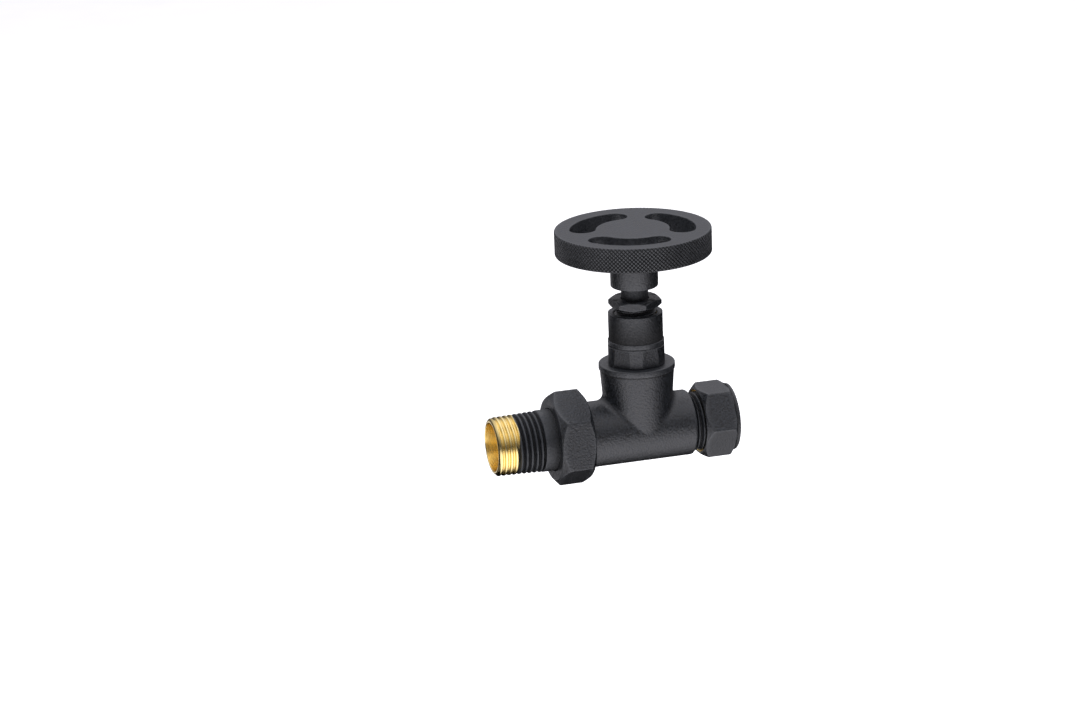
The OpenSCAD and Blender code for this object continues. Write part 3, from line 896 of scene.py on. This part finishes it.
def make_tail():
    """The union tail: taper thread, stub, collar and nose, with a key socket inside its mouth."""
    low, high = span("tailpiece")
    end, nose = low.x, high.x
    rim_r, mouth_r, mouth_l, bore_r = 9.2, 8.4, 8.0, 6.5
    thread_l = 16.5
    taper = 1 / 32          # radius gained per length on a 1 in 16 taper
    small_r = 10.15
    stub_r = 10.7
    collar_x, collar_r = -30.1, 12.7
    face_x = span("valve_body")[0].x - 0.1
    nose_r, groove_r, groove_x, groove_end = 9.05, 7.8, -26.2, -24.4
    key_flats, key_l = 12.0, 9.0
    angles = ring_angles(0, 288)

    def chamfer(x):
        return rim_r + 0.12 + (x - end) * 0.95

    def worn(x):
        """The bare turns' crests are flatter than those under the coat."""
        return np.interp(x - end, (6, 9), (0.32, 0.14))

    thread = threaded(end + 0.25, end + thread_l, small_r, small_r + taper * thread_l, angles,
                      limit=chamfer, worn=worn)
    outside = [(end + 0.06, rim_r - 0.12), (end + 0.12, rim_r)] + thread
    outside += rounded([
        (end + thread_l + 0.15, stub_r - 0.12, 0), (end + thread_l + 0.4, stub_r, 0.15),
        (collar_x, stub_r, 0.35), (collar_x, collar_r, 0.25), (face_x, collar_r, 0.1),
        (face_x, nose_r, 0.1), (groove_x, nose_r, 0.08), (groove_x, groove_r, 0.1),
        (groove_end, groove_r, 0.1), (groove_end, nose_r, 0.08), (nose, nose_r, 0.6),
        (nose, bore_r + 0.3, 0)
    ])
    step_x = end + mouth_l
    inside = rounded([
        (nose, bore_r, 0.2), (step_x, bore_r, 0.1), (step_x, mouth_r, 0.5), (end, mouth_r, 0.2),
        (end, rim_r - 0.3, 0)
    ])
    tail = turned("union_tail", outside + inside, "X", angles)
    side = hexagon(key_flats, angles, 0, key_flats)
    key_start, key_end = step_x - 2, step_x + key_l
    key = turned("key_socket", [(key_start, 0), (key_start, side), (key_end, side), (key_end, 0)],
                 "X", angles)
    return carve(tail, [key])


TAIL_BARE_L = 7.4       # the coat starts this far from the open end
TAIL_COAT_R = 8.75      # and only outside this radius


def mark_coating(piece):
    """Stores how far past the bare end of the tail each point lies, as the cover of coat."""
    mesh = piece.data
    end = span("tailpiece")[0].x
    fade = 0.5
    values = []
    for vertex in mesh.vertices:
        x, y, z = (vertex.co - AXES_CROSSING) / MM
        angle = math.atan2(y, -z)
        wander = 0.35 * math.sin(angle * 2 + 0.6) + 0.2 * math.sin(angle * 5)
        cover = 0.5 + (x - end - TAIL_BARE_L - wander) / fade
        values.append(min(1, max(0, cover)) if math.hypot(y, z) > TAIL_COAT_R else 0)
    mesh.attributes.new("coated", "FLOAT", "POINT").data.foreach_set("value", values)


UNION_TURN = -4.5       # a corner's angle round the pipe axis
COMP_TURN = -28.5


def paint_bore(nut, bore_r, start, end):
    """Bare brass in a nut's thread, inside a radius and between two places along the pipe."""
    def bare(c):
        inside = np.hypot(c[:, 1], c[:, 2]) < bore_r
        return np.where(inside & (c[:, 0] > start) & (c[:, 0] < end), 1, 0)

    paint(nut, bare)


def make_union_nut():
    """The large nut that pulls the tail's collar against the body."""
    low, high = span("union_nut")
    start, end = low.x, high.x
    flats, corner_r, face_r = 29.1, 16.8, 14.2
    thread_r, thread_start = 13.25, start + 1.5
    lip_r = 10.8
    angles = ring_angles(UNION_TURN, 300)
    outside = hex_nut_rings(flats, corner_r, (start, end), (start + 2.3, end - 1.9),
                            (face_r, face_r), angles, UNION_TURN)
    outside = [(start, face_r - 0.2)] + outside + [(end, face_r - 0.2)]
    inside = [(end, thread_r + 0.75), (end - 0.5, thread_r + 0.2)]
    inside += threaded(end - 0.6, thread_start + 0.1, thread_r, thread_r, angles, inward=True)
    inside += rounded([(thread_start, thread_r, 0), (thread_start, lip_r, 0.1), (start, lip_r, 0.35),
                       (start, lip_r + 0.7, 0)])
    nut = turned("union_nut_turned", outside + inside, "X", angles)
    paint_bore(nut, thread_r + 0.65, start + 1.4, end - 0.8)
    return nut


def make_compression_nut():
    """The nut that squeezes the olive on to the pipe, with a round collar at its outer end."""
    low, high = span("compression_nut")
    start, end = low.x, high.x
    flats, corner_r = 23.4, 13.5
    shoulder, collar_r = 32.1, 11.7
    hole_r = 7.62
    thread_r, thread_end = 10.28, 30.0
    cone_r, cone_l = 8.95, 2.2
    angles = ring_angles(COMP_TURN, 300)
    outside = hex_nut_rings(flats, corner_r, (start, shoulder), (start + 2.0, shoulder - 0.9),
                            (11.4, 12.05), angles, COMP_TURN)
    outside += rounded([
        (shoulder + 0.02, collar_r, 0), (shoulder + 0.1, collar_r, 0), (end, collar_r, 0.4),
        (end, 8.0, 0.2), (end - 0.3, hole_r, 0)
    ])
    inside = [(thread_end + cone_l, hole_r - 0.01), (thread_end, cone_r), (thread_end, thread_r)]
    inside += threaded(thread_end - 0.3, start + 0.75, thread_r, thread_r, angles, inward=True)
    inside += [(start + 0.7, thread_r + 0.1), (start, thread_r + 0.65)]
    nut = turned("compression_nut_turned", outside + inside, "X", angles)
    paint_bore(nut, 11.2, start + 0.3, end - 1.4)
    return nut


def make_olive():
    """The soft ring that the compression nut squeezes."""
    low, high = span("olive")
    start, end = low.x, high.x
    mid_r = high.y
    end_r, bore_r, slope = 8.05, 7.61, 1.45
    outline = rounded([
        (start, bore_r, 0), (start, end_r, 0.15), (start + slope, mid_r, 0.8), (end - slope, mid_r, 0.8),
        (end, end_r, 0.15), (end, bore_r, 0)
    ])
    return turned("olive_ring", outline, "X", ring_angles(0, 180))


# ---------------------------------------------------------------- build

finish_piece(make_handwheel(), "wheel", ["handwheel"], [COAT], crease=24.0)
finish_piece(make_spindle(), "wheel", ["spindle"], [STEM_COAT])
finish_piece(make_body(), "body", ["valve_body"], [COAT, BRASS_X])
finish_piece(make_bonnet(), "body", ["bonnet"], [COAT, BRASS_Z], crease=20.0)
finish_piece(make_gland_nut(), "gland_nut", ["gland_nut"], [COAT])
finish_piece(make_union_nut(), "union_nut", ["union_nut"], [COAT, BRASS_X], crease=40.0)
finish_piece(make_compression_nut(), "compression_nut", ["compression_nut"],
             [COAT, BRASS_X], crease=40.0)
finish_piece(make_olive(), "olive", ["olive"], [BRASS_X])
tail_piece = finish_piece(make_tail(), "tail", ["tailpiece"], [TAIL], crease=40.0)
mark_coating(tail_piece)

# small parts that keep their CAD shape
CARRIED_OVER = {
    "bonnet_seal": RUBBER, "packing_washer": BRASS_Z, "gland_packing": PACKING, "gland_follower": BRASS_Z,
    "plug": BRASS_Z, "plug_clip": STEEL, "seat_washer": RUBBER, "washer_screw": BRASS_Z,
    "spindle_o_ring": RUBBER, "hub_grub_screw": STEEL, "tail_o_ring": RUBBER,
}
for name, material in CARRIED_OVER.items():
    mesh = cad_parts[name].data
    mesh.materials.clear()
    mesh.materials.append(material)

# ---------------------------------------------------------------- camera, floor and light

CAMERA_AZIMUTH = -15.93
CAMERA_ELEVATION = 17.481
CAMERA_ROLL = -2.229
CAMERA_DISTANCE = 1188.9
CAMERA_LEFT = 33.6      # the valve stands right of the middle of the view
CAMERA_UP = 4.78
AIM_HEIGHT = 29.55
CAMERA_LENS = 115.55
FLOOR_GAP = 0.06        # metres from the valve down to the floor


def make_camera():
    """The camera, in front and left of the valve and a little above it."""
    azimuth = math.radians(CAMERA_AZIMUTH)
    elevation = math.radians(CAMERA_ELEVATION)
    level = math.cos(elevation)
    back = Vector((math.sin(azimuth) * level, -math.cos(azimuth) * level, math.sin(elevation)))
    right = Vector((math.cos(azimuth), math.sin(azimuth), 0))
    up = back.cross(right)
    roll = math.radians(CAMERA_ROLL)
    right, up = (math.cos(roll) * right + math.sin(roll) * up,
                 math.cos(roll) * up - math.sin(roll) * right)
    aim = Vector((0, 0, AIM_HEIGHT))
    place = aim + back * CAMERA_DISTANCE - right * CAMERA_LEFT - up * CAMERA_UP
    turn = Matrix((right, up, back)).transposed().to_4x4()
    data = bpy.data.cameras.new("camera")
    data.lens = CAMERA_LENS
    data.sensor_width = 36
    data.clip_end = 20
    camera = bpy.data.objects.new("camera", data)
    camera.matrix_world = Matrix.Translation(place * MM + AXES_CROSSING) @ turn
    bpy.context.scene.collection.objects.link(camera)
    bpy.context.scene.camera = camera


def make_floor():
    """A wide plain pale floor under the valve."""
    level = cad_box[0].z - FLOOR_GAP
    half = 6.0              # metres
    mesh = bpy.data.meshes.new("floor")
    corners = [(x, y, level) for x, y in ((-half, -half), (half, -half), (half, half), (-half, half))]
    mesh.from_pydata(corners, [], [(0, 1, 2, 3)])
    floor = bpy.data.objects.new("floor", mesh)
    bpy.context.scene.collection.objects.link(floor)
    material, tree = empty_material("pale_floor")
    tone = place_noise(tree, 40.0)
    colour = mixed(tree, ranged(tree, tone, 0, 1), (0.93, 0.93, 0.93, 1), (0.95, 0.95, 0.95, 1))
    end_material(tree, node(tree, "BsdfDiffuse", Color=colour))
    mesh.materials.append(material)
    floor.visible_glossy = False


def area_light(name, place, size, watts, aim=(0, 0, 30)):
    """A soft square light, placed and aimed in millimetres from the axes' crossing."""
    data = bpy.data.lights.new(name, "AREA")
    data.shape = "RECTANGLE"
    data.size, data.size_y = size[0] * MM, size[1] * MM
    data.energy = watts
    light = bpy.data.objects.new(name, data)
    spot = Vector(place)
    light.matrix_world = Matrix.LocRotScale(
        spot * MM + AXES_CROSSING, (spot - Vector(aim)).to_track_quat("Z", "Y"), None)
    light.visible_glossy = False
    bpy.context.scene.collection.objects.link(light)


def smooth_step(tree, value, start, end, low=0.0, high=1.0):
    """low below start, high above end and smooth between them."""
    return ranged(tree, value, low, high, start, end, easing="SMOOTHSTEP")


def along_direction(tree, direction, axis):
    """How far a direction points along an axis."""
    made = node(tree, "VectorMath", {"operation": "DOT_PRODUCT"})
    tree.links.new(direction, made.inputs[0])
    made.inputs[1].default_value = axis
    return made.outputs["Value"]


FRONT_AZIMUTH = -23.0
SKY_LIGHT = 1.32
LOW_LIGHT = 2.0         # a reflector low in front
HORIZON_LIGHT = 0.06    # its glow at the horizon
CARD_DIRECTION = (-0.26, 0.917, -0.3)   # a small white card behind, seen in the tail's end face
CARD_LIGHT = 0.8
LIGHT_TINT = (0.98, 0.965, 1.03, 1)


def studio_level(tree, direction):
    """The studio's brightness in a direction: bright above and low in front, dim elsewhere."""
    up = node(tree, "SeparateXYZ", Vector=direction).outputs["Z"]
    azimuth = math.radians(FRONT_AZIMUTH)
    front = along_direction(tree, direction, (math.sin(azimuth), -math.cos(azimuth), 0))
    over = calculated(tree, "SUBTRACT", up, calculated(tree, "MULTIPLY", front, 0.15))
    sky = calculated(tree, "MULTIPLY", smooth_step(tree, over, -0.05, 1.05), SKY_LIGHT)
    under = calculated(tree, "SUBTRACT", front, calculated(tree, "MULTIPLY", up, 0.9))
    low = calculated(tree, "MULTIPLY", smooth_step(tree, under, 0.45, 1.1), LOW_LIGHT)
    below = smooth_step(tree, calculated(tree, "MULTIPLY", up, -1.0), 0.0, 0.25)
    reflector = calculated(tree, "MULTIPLY", low, below)
    glow = smooth_step(tree, front, 0.3, 0.9, 0.0, HORIZON_LIGHT)
    toward_card = along_direction(tree, direction, CARD_DIRECTION)
    card = smooth_step(tree, toward_card, 0.975, 0.99, 0.0, CARD_LIGHT)
    level = calculated(tree, "ADD", sky, reflector)
    level = calculated(tree, "ADD", level, glow)
    return calculated(tree, "ADD", level, card)


def make_world():
    """A soft studio in its reflections and light, and plain white where the camera sees it."""
    world = bpy.data.worlds.new("studio")
    world.use_nodes = True
    tree = world.node_tree
    tree.nodes.clear()
    direction = node(tree, "TexCoord").outputs["Generated"]
    lit = node(tree, "Background", Color=LIGHT_TINT, Strength=studio_level(tree, direction))
    backdrop = node(tree, "Background", Color=(1, 1, 1, 1), Strength=1.0)
    seen = node(tree, "LightPath").outputs["Is Camera Ray"]
    both = node(tree, "MixShader", Fac=seen)
    tree.links.new(lit.outputs[0], both.inputs[1])
    tree.links.new(backdrop.outputs[0], both.inputs[2])
    output = tree.nodes.new("ShaderNodeOutputWorld")
    tree.links.new(both.outputs[0], output.inputs["Surface"])
    bpy.context.scene.world = world
    bpy.context.scene.view_settings.view_transform = "Standard"


make_camera()
make_floor()
make_world()
area_light("top", (0, 0, 900), (700, 700), 9)
